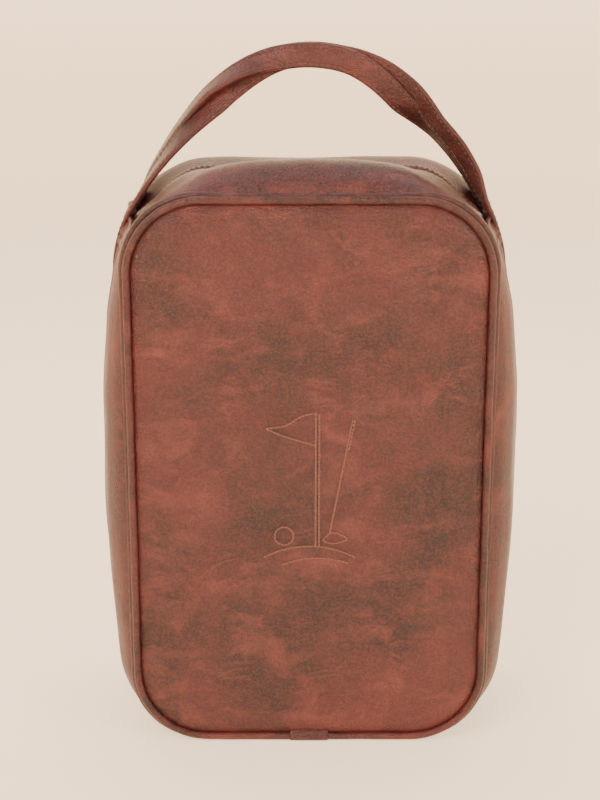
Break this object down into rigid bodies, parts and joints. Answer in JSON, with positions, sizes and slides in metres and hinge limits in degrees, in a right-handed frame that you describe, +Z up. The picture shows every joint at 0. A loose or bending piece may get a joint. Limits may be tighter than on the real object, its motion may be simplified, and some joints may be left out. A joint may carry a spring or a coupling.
{
  "type": "golf shoe bag",
  "caption": "Upright leather shoe bag with a zipped top, rounded gusset, piped flat panels and a twisted twin-strap carry handle.",
  "frame": {"origin": "on the ground under the middle of the bag", "axes": "+Z up, the front panel with the stitched picture faces -Y, +X to the right"},
  "size_m": [0.2684, 0.1306, 0.4479],
  "materials": {
    "leather": "satin",
    "edge_leather": "satin",
    "strap_leather": "satin",
    "lining": "matte",
    "board": "matte",
    "tape": "matte",
    "metal": "satin",
    "thread": "matte"
  },
  "bodies": {
    "bag": {"side_gusset": "leather", "top_gusset_front": "leather", "top_gusset_rear": "leather", "gusset_lining": "lining", "top_lining_front": "lining", "top_lining_rear": "lining", "base_board": "board", "zip_stops": "metal", "motif_stitching": "thread", "front_panel": "leather", "front_board": "board", "front_lining": "lining", "front_seam_binding": "lining", "front_piping": "edge_leather", "front_piping_tab": "edge_leather", "zip_tape_front": "tape", "zip_teeth_front": "metal", "rear_panel": "leather", "rear_board": "board", "rear_lining": "lining", "rear_seam_binding": "lining", "rear_piping": "edge_leather", "rear_piping_tab": "edge_leather", "zip_tape_rear": "tape", "zip_teeth_rear": "metal", "strap_ends_left": "strap_leather", "strap_tails_left": "strap_leather", "gusset_end_fold_left": "edge_leather", "strap_ends_right": "strap_leather", "strap_tails_right": "strap_leather", "gusset_end_fold_right": "edge_leather"},
    "handle": {"front_strap": "strap_leather", "front_strap_core": "board", "rear_strap": "strap_leather", "rear_strap_core": "board"},
    "slider_left": {"zip_slider_left": "metal"},
    "slider_right": {"zip_slider_right": "metal"},
    "puller_left": {"zip_puller_left": "metal", "pull_tag_left": "edge_leather"},
    "puller_right": {"zip_puller_right": "metal", "pull_tag_right": "edge_leather"}
  },
  "joints": [
    {"name": "handle_swing", "type": "hinge", "parent": "bag", "child": "handle", "pos_m": [0, 0, 0.352], "axis": [1, 0, 0], "range_deg": [-35, 35]},
    {"name": "zip_left", "type": "slide", "parent": "bag", "child": "slider_left", "axis": [-1, 0, 0], "range_m": [0, 0.048]},
    {"name": "zip_right", "type": "slide", "parent": "bag", "child": "slider_right", "axis": [1, 0, 0], "range_m": [0, 0.048]},
    {"name": "pull_left", "type": "hinge", "parent": "slider_left", "child": "puller_left", "pos_m": [-0.009, 0, 0.37095], "axis": [0, 1, 0], "range_deg": [0, 90]},
    {"name": "pull_right", "type": "hinge", "parent": "slider_right", "child": "puller_right", "pos_m": [0.009, 0, 0.37095], "axis": [0, -1, 0], "range_deg": [0, 90]}
  ]
}
